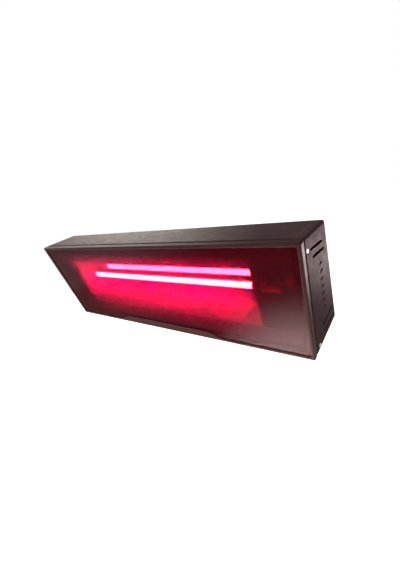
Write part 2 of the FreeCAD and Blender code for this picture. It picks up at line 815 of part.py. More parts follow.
def make_wall_bracket():
    """A plate for the wall with an arm folded forward at each end."""
    wall, front = wall_distance, wall_distance - bracket_sheet
    low, high = mount_height - plate_half_height, mount_height + plate_half_height
    plate = front_prism(rectangle(bracket_half_width, low, high), front, wall, [plate_corner_radius] * 4)
    arm = make_bracket_arm()
    bracket = plate.fuse([arm, mirrored(arm)]).removeSplitter()
    bracket = bracket.makeFillet(bracket_fold_radius, upright_edges(bracket, arm_inner_x, front))
    bracket = bracket.makeFillet(bracket_fold_radius, upright_edges(bracket, bracket_half_width, wall))
    wall_holes = []
    for x in (-wall_hole_spacing_x / 2, wall_hole_spacing_x / 2):
        for z in (-wall_hole_spacing_z / 2, wall_hole_spacing_z / 2):
            wall_holes.append(along_depth(front, wall, x, mount_height + z, wall_hole_radius))
    return bracket.cut(wall_holes)


def make_nodes():
    end_cap, reflector_end = make_end_cap(), make_reflector_end()
    lamp_cap, lamp_holder, lug = make_lamp_cap(), make_lamp_holder(), make_lug()
    wire_right, wire_left = make_lead_wires()
    lock = turn_point(lock_angle, lock_distance)
    return {
        "housing_shell": make_housing_shell(),
        "end_cap_right": end_cap,
        "end_cap_left": mirrored(end_cap),
        "front_frame": make_front_frame(),
        "glass_panel": make_glass_panel(),
        "glass_gasket": make_glass_gasket(),
        "reflector_trough": make_reflector(),
        "reflector_rail_top": make_rail(opening_high, height - return_flange + rail_overlap),
        "reflector_rail_bottom": make_rail(return_flange - rail_overlap, opening_low),
        "rail_rivets": make_rivets(),
        "reflector_end_right": reflector_end,
        "reflector_end_left": mirrored(reflector_end),
        "lamp_tube": make_lamp_tube(),
        "heating_element": make_heating_element(),
        "element_clamps": make_element_clamps(),
        "lamp_cap_right": lamp_cap,
        "lamp_cap_left": mirrored(lamp_cap),
        "lamp_holder_right": lamp_holder,
        "lamp_holder_left": mirrored(lamp_holder),
        "lead_wire_right": wire_right,
        "lead_wire_left": wire_left,
        "terminal_block": make_terminal_block(),
        "terminal_screws": make_terminal_screws(),
        "cable_gland": make_cable_gland(),
        "gland_nut": make_gland_nut(),
        "end_screws": make_end_screws(),
        "mount_lug_right": lug,
        "mount_lug_left": mirrored(lug),
        "lug_screws": make_lug_screws(),
        "pivot_bolts": make_tilt_bolts(pivot_depth, pivot_z, pivot_radius, pivot_hex),
        "lock_bolts": make_tilt_bolts(lock[0], lock[1], lock_radius, lock_hex),
        "pivot_washers": make_washers(),
        "wall_bracket": make_wall_bracket(),
    }


os.makedirs("parts", exist_ok=True)
for name, shape in make_nodes().items():
    if not shape.isValid() or not shape.Solids:
        print("not a valid solid:", name)
    shape.exportStep(f"parts/{name}.step")
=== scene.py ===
"""Looks of a glass-fronted infrared heater: finishes, hardware, studio light and the photograph's view."""

import json
import math

import bmesh
import bpy
from mathutils import Matrix, Quaternion, Vector


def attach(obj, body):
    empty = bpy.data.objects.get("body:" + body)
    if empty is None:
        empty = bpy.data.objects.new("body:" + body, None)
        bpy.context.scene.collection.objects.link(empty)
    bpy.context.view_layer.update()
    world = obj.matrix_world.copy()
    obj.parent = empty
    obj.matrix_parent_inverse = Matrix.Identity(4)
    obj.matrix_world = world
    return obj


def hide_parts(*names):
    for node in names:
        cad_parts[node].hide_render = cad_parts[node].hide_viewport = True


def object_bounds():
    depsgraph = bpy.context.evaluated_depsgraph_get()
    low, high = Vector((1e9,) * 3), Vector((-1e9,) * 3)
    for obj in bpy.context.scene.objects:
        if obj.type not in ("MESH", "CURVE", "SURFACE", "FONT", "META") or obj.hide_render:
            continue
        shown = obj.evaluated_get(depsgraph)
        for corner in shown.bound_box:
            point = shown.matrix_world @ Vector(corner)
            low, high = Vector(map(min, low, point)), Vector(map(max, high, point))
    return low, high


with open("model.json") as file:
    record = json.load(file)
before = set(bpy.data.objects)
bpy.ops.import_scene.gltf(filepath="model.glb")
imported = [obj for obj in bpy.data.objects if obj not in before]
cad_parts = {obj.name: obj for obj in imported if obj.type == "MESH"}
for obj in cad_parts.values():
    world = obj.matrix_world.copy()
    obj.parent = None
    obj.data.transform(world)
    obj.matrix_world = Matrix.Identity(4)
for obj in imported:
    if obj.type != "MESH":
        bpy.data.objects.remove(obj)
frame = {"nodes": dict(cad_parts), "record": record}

cad_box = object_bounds()
scene = bpy.context.scene
nodes_by_name = frame["nodes"]
slot_of_node = {part["node"]: part["material_slot"] for part in frame["record"]["subparts"]}

# The photograph's height in pixels and the camera that was fitted to it, with its sensor in millimetres
IMAGE_HEIGHT = 570
FOCAL_PIXELS = 300.15
SENSOR = 36.0
CAMERA_PLACE = Vector((0.36675, -0.3965, 0.24712))
CAMERA_RIGHT = Vector((0.78277, 0.54027, -0.30883))
CAMERA_UP = Vector((-0.13661, 0.63334, 0.76172))
CAMERA_SHIFT = (0.0029, 0.0625)
CAMERA_NEAR = 0.01

# The casing's cross-section as (y, z) corners, its half length, its fold radius and its sheet
CASING_CORNERS = ((-0.132, 0.111), (-0.068, 0.1016), (-0.051, -0.049), (-0.132, -0.052))
CASING_HALF = 0.26
FOLD_RADIUS = 0.0034
SHEET = 0.0012

# Paint: its usual shine as an index of refraction, the width of its paler edges, a painted highlight, the
# cosines between which that painted highlight grows, and the casing's inner faces: their dark colour, a
# painted shade, and their roughness
PAINT_SHINE = 1.035
EDGE_HIGHLIGHT_WIDTH = 0.0012
EDGE_HIGHLIGHT_START = 0.99
EDGE_HIGHLIGHT_FULL = 0.86
# Painted shade: the dark colour given to the casing's inner faces
INSIDE_SHADE_COLOUR = (38, 30, 30)
INSIDE_ROUGHNESS = 0.9

# Reflector: half the trough's length, how far inside its ends the dull end plates start and are in full,
# the height below which its wall is dull, how far that fades, how dark the dull parts are painted as shade,
# and how rough they are
TROUGH_HALF = 0.1905
END_DULL_AND_SHADED_START = 0.002
END_DULL_AND_SHADED_FULL = 0.001
DULL_AND_SHADED_BELOW = 0.001
DULL_AND_SHADED_FADE = 0.006
DULL_PAINTED_SHADE = 0.16
DULL_ROUGHNESS = 0.45
REFLECTOR_METALLIC = 0.99

# Lamp: its middle in depth, the brightest cells of its weave, the share of their light in the other cells,
# the weave's scale, and how opaque its tube is in front and behind
LAMP_Y = -0.1095
LAMP_COLOUR = (1.0, 0.9, 0.85, 1.0)
LAMP_STRENGTH = 162.0
DIM_CELLS = 0.625
WEAVE_SCALE = 700.0
QUARTZ_CLEAR = 0.03
QUARTZ_FROST = 0.2
QUARTZ_FADE = 0.0006

# Glass: what it lets through, the colour and share of its own body and of the glow in it, and its shine
GLASS_TINT = (0.34, 0.0105, 0.025, 1.0)
GLASS_BODY = (0.9, 0.055, 0.13, 1.0)
GLASS_BODY_SHARE = 0.022
GLASS_GLOW = (1.0, 0.002, 0.34, 1.0)
GLASS_GLOW_SHARE = 0.03
GLASS_SHINE = 0.004
GLASS_SLANT_SHINE = 1.3
SLANT_POWER = 8.0

# Frost in front of the lamp: its share of glow, half its length, its lower and upper edge and its fade
FROST_SHARE = 0.11
FROST_HALF = 0.185
FROST_LOW = -0.03
FROST_HIGH = 0.09
FROST_FADE = 0.012

# Fasteners as the CAD has them: radius of shank and head, width across flats, head height and thread pitch
TILT_BOLTS = {
    "pivot_bolts": {"shank": 0.004, "flats": 0.013, "rise": 0.0056, "pitch": 0.00125},
    "lock_bolts": {"shank": 0.003, "flats": 0.010, "rise": 0.0042, "pitch": 0.001},
}
BOLT_GRIP = 0.007
END_SCREW = {"shank": 0.0015, "head": 0.00275, "rise": 0.0016, "pitch": 0.0007}
LUG_SCREW = {"shank": 0.0025, "head": 0.00475, "rise": 0.0028, "pitch": 0.0008}
LUG_NUT_FLATS = 0.008
LUG_NUT_HEIGHT = 0.004

# Turned corners of hexagons: their slope, the end's radius as a share of the flats, and their rings
TURN_SLOPE = math.tan(math.radians(30))
TURN_SHARE = 0.48
TURN_STEPS = 4

# Threads: their depth, and where a turn's crest starts and ends and its root lies, as shares of the pitch
THREAD_DEPTH = 0.3
ROD_TURN = (0.35, 0.55, 0.9)
TUBE_TURN = (0.4, 0.6, 1.0)

# Cross-recessed heads: the flat on the dome, and the recess's reach, half width, depth and foot, as shares
HEAD_FLAT = 0.66
DOME_STEPS = 5
RECESS_REACH = 0.5
RECESS_HALF = 0.13
RECESS_DEPTH = 0.6
RECESS_FOOT = 0.75

# Cable gland: its hexagon, bore and thread, then its clamp nut's radii, rise, neck, rings and flutes
GLAND_FLATS = 0.022
GLAND_HEX_HEIGHT = 0.005
GLAND_BORE = 0.0042
GLAND_THREAD_RADIUS = 0.008
GLAND_THREAD_LENGTH = 0.008
GLAND_THREAD_PITCH = 0.0015
GLAND_WIDE = 0.009
GLAND_NARROW = 0.0065
GLAND_RISE = 0.014
GLAND_NECK = 0.0005
GLAND_RINGS = (0.0, 0.1, 0.11, 0.18, 0.3, 0.5, 0.7, 0.82, 0.9)
GLAND_TIP_STEPS = 6
FLUTE_COUNT = 12
FLUTE_DEPTH = 0.0006
FLUTE_START = 0.0015
FLUTE_RUN_IN = 0.001
FLUTE_END = 0.004
FLUTE_RUN_OUT = 0.002

# Meshes: points round a ring, the distance at which two points are one, and the angle that stays sharp
ROUND_STEPS = 48
SAME_POINT = 1e-6
SHARP_ANGLE = math.radians(34)

# Studio: the floor's distance under the heater, its size, colour and glow, the surroundings as they are
# seen and as they light, and a softbox panel's middle, its brightness there and where it is dark
FLOOR_DROP = 0.75
FLOOR_SIZE = 4.6
FLOOR_COLOUR = (0.86, 0.86, 0.86, 1.0)
FLOOR_GLOW = 0.8
WHITE = (1.0, 1.0, 1.0, 1.0)
BACKGROUND_WHITE = 1.0
AMBIENT = 0.45
PANEL_CENTRE = (0.5, 0.5, 0.0)
PANEL_MIDDLE = 3.0
PANEL_RIM = 0.5


def srgb(red, green, blue):
    """A colour written as it looks on screen, 0 to 255, as linear values with alpha."""
    def linear(value):
        share = value / 255
        return share / 12.92 if share <= 0.04045 else ((share + 0.055) / 1.055) ** 2.4
    return (linear(red), linear(green), linear(blue), 1.0)


def shaded(colour, share):
    """A colour at a share of its brightness."""
    return tuple(share * value for value in colour[:3]) + (1.0,)


def clamped(value):
    """A value held between 0 and 1."""
    return min(max(value, 0.0), 1.0)


def add_node(tree, kind, **settings):
    """A new shader node with its settings."""
    made = tree.nodes.new(kind)
    for name, value in settings.items():
        setattr(made, name, value)
    return made


def feed(tree, socket, value):
    """Links another node's output to an input, or sets a plain value on it."""
    if isinstance(value, bpy.types.NodeSocket):
        tree.links.new(value, socket)
    else:
        socket.default_value = value


def calculate(tree, kind, operation, *values):
    """A node of a mathematical kind that works on outputs or plain values."""
    made = add_node(tree, kind, operation=operation)
    for socket, value in zip(made.inputs, values):
        feed(tree, socket, value)
    return made


def map_range(tree, source, low, high, start, end, curve="LINEAR"):
    """Maps a range of an output's values to another range, held at its ends."""
    mapped = add_node(tree, "ShaderNodeMapRange", interpolation_type=curve)
    feed(tree, mapped.inputs["Value"], source)
    for name, value in zip(("From Min", "From Max", "To Min", "To Max"), (low, high, start, end)):
        feed(tree, mapped.inputs[name], value)
    return mapped.outputs["Result"]


class Finish:
    """A material with one Principled shader and short calls for the nodes that vary it."""

    def __init__(self, name, colour, roughness=0.5, metallic=0.0):
        self.material = bpy.data.materials.new(name)
        self.material.use_nodes = True
        self.tree = self.material.node_tree
        self.shader = self.tree.nodes["Principled BSDF"]
        self.output = self.tree.nodes["Material Output"]
        self.place = self.node("ShaderNodeTexCoord").outputs["Object"]
        self.set("Base Color", colour)
        self.set("Roughness", roughness)
        self.set("Metallic", metallic)

    def node(self, kind, **settings):
        return add_node(self.tree, kind, **settings)

    def feed(self, socket, value):
        feed(self.tree, socket, value)

    def set(self, name, value):
        """Sets or links an input of the Principled shader."""
        self.feed(self.shader.inputs[name], value)

    def math(self, operation, *values):
        """One arithmetic step on outputs or numbers."""
        return calculate(self.tree, "ShaderNodeMath", operation, *values).outputs["Value"]

    def measure(self, operation, *values):
        """A number from one or two vectors: a dot product or a length."""
        return calculate(self.tree, "ShaderNodeVectorMath", operation, *values).outputs["Value"]

    def ramp(self, source, low, high, start, end, curve="LINEAR"):
        return map_range(self.tree, source, low, high, start, end, curve)

    def stretched(self, scale):
        """The surface's own place, stretched by a scale along X, Y and Z."""
        mapping = self.node("ShaderNodeMapping")
        self.feed(mapping.inputs["Scale"], scale)
        self.feed(mapping.inputs["Vector"], self.place)
        return mapping.outputs["Vector"]

    def noise(self, scale, detail=3.0, stretch=None, rough=0.5):
        """Noise over the surface, which may be stretched."""
        texture = self.node("ShaderNodeTexNoise")
        self.feed(texture.inputs["Scale"], scale)
        self.feed(texture.inputs["Detail"], detail)
        self.feed(texture.inputs["Roughness"], rough)
        self.feed(texture.inputs["Vector"], self.stretched(stretch) if stretch else self.place)
        return texture.outputs["Fac"]

    def patches(self, scale, start, end, detail=3.0, low=0.3, high=0.7):
        """Cloudy patches between two values, reached where the noise is at its low and high."""
        return self.ramp(self.noise(scale, detail), low, high, start, end)

    def blend(self, factor, first, second):
        """A mix of two colours, each a colour or an output."""
        mix = self.node("ShaderNodeMix", data_type="RGBA")
        for name, value in (("Factor", factor), ("A", first), ("B", second)):
            self.feed(mix.inputs[name], value)
        return mix.outputs["Result"]

    def coloured(self, kind, colour):
        """A plain shader of one colour."""
        made = self.node(kind)
        self.feed(made.inputs["Color"], colour)
        return made.outputs["BSDF"]

    def layer(self, share, below, above):
        """A share of one shader over another. The share is an output or a number."""
        mix = self.node("ShaderNodeMixShader")
        for socket, value in zip(mix.inputs, (share, below, above)):
            self.feed(socket, value)
        return mix.outputs["Shader"]

    def shine_over(self, below, roughness, share):
        """Ends the material with a share of shine over a shader."""
        shine = self.node("ShaderNodeBsdfGlossy")
        self.feed(shine.inputs["Roughness"], roughness)
        self.feed(self.output.inputs["Surface"], self.layer(share, below, shine.outputs["BSDF"]))

    def bump(self, height, strength, distance):
        """Makes the Principled shader's surface look raised by a height."""
        raised = self.node("ShaderNodeBump")
        for name, value in (("Strength", strength), ("Distance", distance), ("Height", height)):
            self.feed(raised.inputs[name], value)
        self.set("Normal", raised.outputs["Normal"])

    def dot(self, direction):
        """How far the surface lies along a direction."""
        return self.measure("DOT_PRODUCT", self.place, direction)

    def off_middle(self):
        """How far the surface lies from the heater's middle, to either end."""
        return self.math("ABSOLUTE", self.dot((1, 0, 0)))

    def edge_mask(self, radius):
        """1 on edges and folds, 0 on flat faces, from a rounded normal against the true one."""
        rounded = self.node("ShaderNodeBevel", samples=6)
        self.feed(rounded.inputs["Radius"], radius)
        flat = self.node("ShaderNodeNewGeometry")
        agreement = self.measure("DOT_PRODUCT", rounded.outputs["Normal"], flat.outputs["True Normal"])
        return self.ramp(agreement, EDGE_HIGHLIGHT_START, EDGE_HIGHLIGHT_FULL, 0.0, 1.0)

    def slant(self):
        """Near 0 where a surface is seen from the front and near 1 where it is seen along its length."""
        return self.math("POWER", self.node("ShaderNodeLayerWeight").outputs["Facing"], SLANT_POWER)

    def inside_casing(self):
        """1 on the casing's inner faces and 0 on its outer faces and folds."""
        def nearness(distance, reach):
            return self.ramp(distance, reach - FOLD_RADIUS, reach, 0.0, FOLD_RADIUS)

        near = []
        for i, (y, z) in enumerate(CASING_CORNERS):
            after = CASING_CORNERS[(i + 1) % len(CASING_CORNERS)]
            outward = Vector((0.0, y - after[0], z - after[1])).cross((1, 0, 0)).normalized()
            near.append(nearness(self.dot(outward), outward.dot((0.0, y, z))))
        joined = self.node("ShaderNodeCombineXYZ")
        self.feed(joined.inputs["X"], self.math("MAXIMUM", near[0], near[2]))
        self.feed(joined.inputs["Y"], self.math("MAXIMUM", near[1], near[3]))
        self.feed(joined.inputs["Z"], nearness(self.off_middle(), CASING_HALF))
        outwards = self.measure("LENGTH", joined.outputs["Vector"])
        sheet_middle, fade = FOLD_RADIUS - SHEET / 2, SHEET / 10
        return self.ramp(outwards, sheet_middle - fade, sheet_middle + fade, 1.0, 0.0)


def painted_metal(name, colour, darker, worn, shine=PAINT_SHINE, hollow=False, slant=0.0):
    """Satin bronze paint with fine orange peel, faint mottling and paler edges, a painted highlight.

    With hollow the casing's inner faces are painted dark as shade. A slant adds shine where the paint is seen
    along its length.
    """
    finish = Finish(name, colour)
    finish.set("IOR", shine)
    mottling = finish.patches(26.0, start=0.0, end=1.0, detail=5.0, low=0.35, high=0.65)
    body = finish.blend(mottling, colour, darker)
    # Painted highlight: a paler colour along edges and folds, broken into patches
    highlight_patches = finish.patches(90.0, start=0.35, end=1.0, detail=4.0)
    edge_highlight = finish.math("MULTIPLY", finish.edge_mask(EDGE_HIGHLIGHT_WIDTH), highlight_patches)
    body = finish.blend(edge_highlight, body, worn)
    gloss = finish.patches(140.0, start=0.3, end=0.42, detail=4.0)
    peel = finish.noise(1900.0, detail=2.0)
    if hollow:
        # Painted shade: the casing's inner faces take a dark colour and a rough finish
        inside = finish.inside_casing()
        body = finish.blend(inside, body, srgb(*INSIDE_SHADE_COLOUR))
        gloss = finish.math("MAXIMUM", gloss, finish.math("MULTIPLY", inside, INSIDE_ROUGHNESS))
        peel = finish.math("MULTIPLY", peel, finish.math("SUBTRACT", 1.0, inside))
    finish.set("Base Color", body)
    finish.set("Roughness", gloss)
    finish.bump(peel, strength=0.05, distance=0.0001)
    if slant:
        share = finish.ramp(finish.slant(), 0.0, 1.0, 0.0, slant)
        finish.shine_over(finish.shader.outputs["BSDF"], gloss, share)
    return finish.material


def frosted_window(finish):
    """How frosted the glass is: 1 at the top in front of the lamp, less further down and 0 round it."""
    height = finish.dot((0, 0, 1))
    ends = finish.ramp(finish.off_middle(), FROST_HALF, FROST_HALF + FROST_FADE, 1.0, 0.0, "SMOOTHSTEP")
    top = finish.ramp(height, FROST_HIGH, FROST_HIGH + FROST_FADE, 1.0, 0.0, "SMOOTHSTEP")
    rise = finish.ramp(height, FROST_LOW, FROST_HIGH, 0.0, 1.0)
    return finish.math("MULTIPLY", ends, finish.math("MULTIPLY", top, rise))


def tinted_glass(name):
    """Dark red heat glass: light straight through, a little of it spread in the body, and a soft shine."""
    finish = Finish(name, GLASS_BODY)
    finish.set("Specular IOR Level", 0.0)
    # Light crosses two faces, so each takes the square root of the tint
    face_tint = tuple(math.sqrt(value) for value in GLASS_TINT)
    straight = finish.coloured("ShaderNodeBsdfTransparent", face_tint)
    glow = finish.coloured("ShaderNodeBsdfTranslucent", GLASS_GLOW)
    glow_share = finish.ramp(frosted_window(finish), 0.0, 1.0, GLASS_GLOW_SHARE, FROST_SHARE)
    body = finish.layer(glow_share, straight, glow)
    body = finish.layer(GLASS_BODY_SHARE, body, finish.shader.outputs["BSDF"])
    gloss = finish.patches(34.0, start=0.08, end=0.16, detail=5.0, low=0.35, high=0.65)
    inner_face = finish.node("ShaderNodeNewGeometry").outputs["Backfacing"]
    share = finish.ramp(finish.slant(), 0.0, 1.0, GLASS_SHINE, GLASS_SLANT_SHINE)
    share = finish.math("MULTIPLY", share, finish.math("SUBTRACT", 1.0, inner_face))
    finish.shine_over(body, gloss, share)
    return finish.material


def drawn_metal(name, colour, low, high, grain, metallic=1.0):
    """Metal with a drawn grain along X. Gives its finish and the outputs for its colour and roughness."""
    finish = Finish(name, colour, metallic=metallic)
    lines = finish.noise(grain, detail=4.0, stretch=(0.02, 1.0, 1.0), rough=0.6)
    finish.bump(lines, strength=0.08, distance=0.0001)
    body = finish.blend(finish.noise(45.0), colour, shaded(colour, 0.86))
    return finish, body, finish.ramp(lines, 0.3, 0.7, low, high)


def polished_metal(name, colour, low, high, grain):
    """Bright metal whose drawn grain spreads its shine."""
    finish, body, gloss = drawn_metal(name, colour, low, high, grain)
    finish.set("Base Color", body)
    finish.set("Roughness", gloss)
    return finish.material


def reflector_metal(name, colour, low, high, grain):
    """Polished metal that is dull, and painted dark as shade, on the reflector's lower wall and end plates.
    """
    finish, body, gloss = drawn_metal(name, colour, low, high, grain, REFLECTOR_METALLIC)
    low_wall = finish.ramp(finish.dot((0, 0, 1)), DULL_AND_SHADED_BELOW, DULL_AND_SHADED_BELOW + DULL_AND_SHADED_FADE, 1.0, 0.0)
    start, full = TROUGH_HALF - END_DULL_AND_SHADED_START, TROUGH_HALF - END_DULL_AND_SHADED_FULL
    end_wall = finish.ramp(finish.off_middle(), start, full, 0.0, 1.0)
    # Painted shade: the lower wall and the end plates get a darker colour. Their added roughness is real
    # dullness.
    dull_and_painted_shade = finish.math("MAXIMUM", low_wall, end_wall)
    finish.set("Base Color", finish.blend(dull_and_painted_shade, body, shaded(colour, DULL_PAINTED_SHADE)))
    finish.set("Roughness", finish.math("MAXIMUM", gloss, finish.math("MULTIPLY", dull_and_painted_shade, DULL_ROUGHNESS)))
    return finish.material


def quartz(name):
    """A clear quartz tube whose rear half is lightly frosted, so that it glows round the ribbon."""
    finish = Finish(name, srgb(244, 240, 238))
    rear = finish.ramp(finish.dot((0, 1, 0)), LAMP_Y, LAMP_Y + QUARTZ_FADE, QUARTZ_CLEAR, QUARTZ_FROST)
    grains = finish.patches(900.0, start=0.4, end=1.0, detail=2.0, low=0.4, high=0.6)
    finish.set("Alpha", finish.math("MULTIPLY", rear, grains))
    finish.set("Roughness", finish.patches(300.0, start=0.06, end=0.2, detail=2.0))
    return finish.material


def glowing_carbon(name):
    """The lit carbon ribbon, with its weave as brighter and darker cells."""
    finish = Finish(name, srgb(60, 30, 26), roughness=0.6)
    weave = finish.node("ShaderNodeTexChecker")
    finish.feed(weave.inputs["Scale"], WEAVE_SCALE)
    finish.feed(weave.inputs["Vector"], finish.place)
    cells = finish.blend(weave.outputs["Fac"], shaded(LAMP_COLOUR, DIM_CELLS), LAMP_COLOUR)
    finish.set("Emission Color", cells)
    finish.set("Emission Strength", LAMP_STRENGTH)
    return finish.material


def plain_finish(name, colour, roughness, spread, scale, grain=0.15):
    """A finish with mottled colour, uneven gloss and, apart from smooth ones, a fine grain."""
    finish = Finish(name, colour)
    mottling = finish.patches(scale, start=0.0, end=1.0, detail=4.0)
    finish.set("Base Color", finish.blend(mottling, colour, shaded(colour, 0.75)))
    finish.set("Roughness", finish.patches(3 * scale, start=roughness - spread, end=roughness + spread))
    if grain:
        finish.bump(finish.noise(12 * scale, detail=2.0), strength=grain, distance=0.0002)
    return finish.material


finishes = {}


def finish_slot(slot, maker, *values, **settings):
    """Makes the material of one of the record's slots."""
    finishes[slot] = maker(slot, *values, **settings)


# Each paint's pale edge colour is a painted highlight. The casing paint's inner faces carry painted shade.
finish_slot("casing_paint", painted_metal, srgb(63, 43, 43), darker=srgb(54, 37, 37), worn=srgb(92, 77, 74),
            hollow=True)
finish_slot("frame_paint", painted_metal, srgb(56, 34, 34), darker=srgb(49, 30, 30), worn=srgb(104, 86, 84),
            shine=1.05, slant=0.55)
finish_slot("bracket_paint", painted_metal, srgb(66, 50, 48), darker=srgb(58, 44, 42),
            worn=srgb(130, 118, 112))
finish_slot("tinted_glass", tinted_glass)
finish_slot("seal_tape", plain_finish, srgb(34, 30, 30), roughness=0.85, spread=0.1, scale=500.0, grain=0.6)
finish_slot("polished_aluminium", reflector_metal, srgb(216, 208, 212), low=0.07, high=0.12, grain=900.0)
finish_slot("black_steel", plain_finish, srgb(30, 25, 25), roughness=0.8, spread=0.08, scale=40.0, grain=0.0)
finish_slot("quartz", quartz)
finish_slot("glowing_carbon", glowing_carbon)
finish_slot("lamp_ceramic", plain_finish, srgb(226, 220, 208), roughness=0.6, spread=0.12, scale=220.0)
finish_slot("spring_steel", polished_metal, srgb(96, 94, 92), low=0.25, high=0.45, grain=1500.0)
finish_slot("wire_sleeve", plain_finish, srgb(38, 34, 34), roughness=0.8, spread=0.1, scale=900.0, grain=0.5)
finish_slot("terminal_brass", polished_metal, srgb(200, 168, 92), low=0.25, high=0.45, grain=1500.0)
finish_slot("gland_nylon", plain_finish, srgb(40, 40, 42), roughness=0.5, spread=0.1, scale=300.0)
finish_slot("zinc_steel", polished_metal, srgb(176, 172, 168), low=0.22, high=0.42, grain=1800.0)
finish_slot("washer_nylon", plain_finish, srgb(56, 56, 56), roughness=0.55, spread=0.1, scale=300.0)

for node_name, node_slot in slot_of_node.items():
    node = nodes_by_name[node_name]
    node.data.materials.clear()
    node.data.materials.append(finishes[node_slot])


def solids_of(name):
    """The corner points of each separate solid in a CAD node."""
    mesh = bmesh.new()
    mesh.from_mesh(nodes_by_name[name].data)
    bmesh.ops.remove_doubles(mesh, verts=mesh.verts, dist=SAME_POINT)
    waiting = set(mesh.verts)
    found = []
    while waiting:
        reached = [waiting.pop()]
        solid = []
        while reached:
            corner = reached.pop()
            solid.append(corner.co.copy())
            for edge in corner.link_edges:
                other = edge.other_vert(corner)
                if other in waiting:
                    waiting.remove(other)
                    reached.append(other)
        found.append(solid)
    mesh.free()
    return found


def stand_on(points, axis, across):
    """A matrix at a solid's inner end, with Z along an axis and X across it, and the solid's length."""
    axis, across = Vector(axis).normalized(), Vector(across).normalized()
    upright = axis.cross(across)

    def span(direction):
        reaches = [point.dot(direction) for point in points]
        return min(reaches), max(reaches)

    low, high = span(axis)
    origin = axis * low + across * sum(span(across)) / 2 + upright * sum(span(upright)) / 2
    turn = Matrix((across, upright, axis)).transposed().to_4x4()
    return Matrix.Translation(origin) @ turn, high - low


def join_rings(mesh, first, second):
    """A band of faces between two rings of the same count."""
    for i in range(len(first)):
        after = (i + 1) % len(first)
        mesh.faces.new((first[i], first[after], second[after], second[i]))


def round_rings(mesh, place, profile, shape=None):
    """Skins rings of (radius, height) round a matrix's Z axis. A shape changes the radius by the angle."""
    rings = []
    for radius, height in profile:
        ring = []
        for i in range(ROUND_STEPS):
            angle = 2 * math.pi * i / ROUND_STEPS
            reach = shape(angle, radius, height) if shape else radius
            point = Vector((reach * math.cos(angle), reach * math.sin(angle), height))
            ring.append(mesh.verts.new(place @ point))
        rings.append(ring)
    for low, high in zip(rings, rings[1:]):
        join_rings(mesh, low, high)
    return rings


def hexagon_reach(flats, angle):
    """How far a hexagon reaches at an angle, with a corner at angle 0."""
    off_flat = (angle % math.radians(60)) - math.radians(30)
    return flats / 2 / math.cos(off_flat)


def hexagon_head(mesh, place, flats, low, high, hole=None, both_ends=False):
    """A bolt head or nut with turned corners on its outer end, or on both ends."""
    turned = TURN_SHARE * flats
    chamfer = (flats / math.sqrt(3) - turned) * TURN_SLOPE

    def reach(angle, width, height):
        limit = turned + (high - height) / TURN_SLOPE
        if both_ends:
            limit = min(limit, turned + (height - low) / TURN_SLOPE)
        return min(hexagon_reach(width, angle), limit)

    drops = [chamfer * i / TURN_STEPS for i in range(TURN_STEPS + 1)]
    lower = [low + drop for drop in drops] if both_ends else [low]
    upper = [high - drop for drop in reversed(drops)]
    rings = round_rings(mesh, place, [(flats, height) for height in lower + upper], reach)
    if hole:
        inner = round_rings(mesh, place, [(hole, low), (hole, high)])
        join_rings(mesh, rings[0], inner[0])
        join_rings(mesh, rings[-1], inner[-1])
    else:
        mesh.faces.new(rings[0])
        mesh.faces.new(rings[-1])


def thread_turns(radius, start, pitch, count, turn):
    """The profile of a thread's turns, each with a flat crest and the root after it."""
    profile = []
    for i in range(count):
        foot = start + i * pitch
        crest_start, crest_end, root = [foot + share * pitch for share in turn]
        profile += [(radius, crest_start), (radius, crest_end), (radius - THREAD_DEPTH * pitch, root)]
    return profile


def threaded_rod(mesh, place, radius, length, pitch):
    """A rod with a thread and a turned point at its foot."""
    depth = THREAD_DEPTH * pitch
    profile = [(radius - 2 * depth, 0.0), (radius - depth, depth)]
    profile += thread_turns(radius, depth, pitch, int(length / pitch) - 1, ROD_TURN)
    profile.append((radius - depth, length))
    rings = round_rings(mesh, place, profile)
    mesh.faces.new(rings[0])
    mesh.faces.new(rings[-1])


def threaded_tube(mesh, place, radius, bore, length, pitch):
    """A thread with a hole through it."""
    depth = THREAD_DEPTH * pitch
    profile = [(bore, length), (bore, 0.0), (radius - depth, 0.0)]
    profile += thread_turns(radius, 0.0, pitch, int(length / pitch), TUBE_TURN)
    profile.append((radius - depth, length))
    rings = round_rings(mesh, place, profile)
    join_rings(mesh, rings[0], rings[-1])


def cross_outline(reach, half):
    """The twelve corners of an even cross."""
    arm = ((half, half), (half, reach), (-half, reach))
    corners = []
    for quarter in range(4):
        for x, y in arm:
            for _ in range(quarter):
                x, y = -y, x
            corners.append((x, y))
    return corners


def cross_head(mesh, place, radius, rise):
    """A domed screw head with a cross recess, standing on the placing matrix."""
    ball = (radius ** 2 + rise ** 2) / (2 * rise)
    flat = HEAD_FLAT * radius

    def dome(reach):
        return math.sqrt(ball ** 2 - reach ** 2) - (ball - rise)

    reaches = [radius - (radius - flat) * i / DOME_STEPS for i in range(DOME_STEPS + 1)]
    rings = round_rings(mesh, place, [(reach, dome(reach)) for reach in reaches])
    mesh.faces.new(rings[0])
    outline = cross_outline(RECESS_REACH * radius, RECESS_HALF * radius)

    def cross_ring(share, height):
        return [mesh.verts.new(place @ Vector((share * x, share * y, height))) for x, y in outline]

    mouth = cross_ring(1.0, dome(flat))
    foot = cross_ring(RECESS_FOOT, dome(flat) - RECESS_DEPTH * rise)
    join_rings(mesh, mouth, foot)
    mesh.faces.new(foot)
    rims = [(ring[i], ring[(i + 1) % len(ring)]) for ring in (rings[-1], mouth) for i in range(len(ring))]
    edges = [mesh.edges.get(pair) for pair in rims]
    bmesh.ops.triangle_fill(mesh, use_beauty=True, use_dissolve=False, edges=edges)


def cross_screw(mesh, place, length, screw):
    """A threaded screw with a cross-recessed head at its outer end."""
    seat = length - screw["rise"]
    cross_head(mesh, place @ Matrix.Translation((0, 0, seat)), screw["head"], screw["rise"])
    threaded_rod(mesh, place, screw["shank"], seat, screw["pitch"])


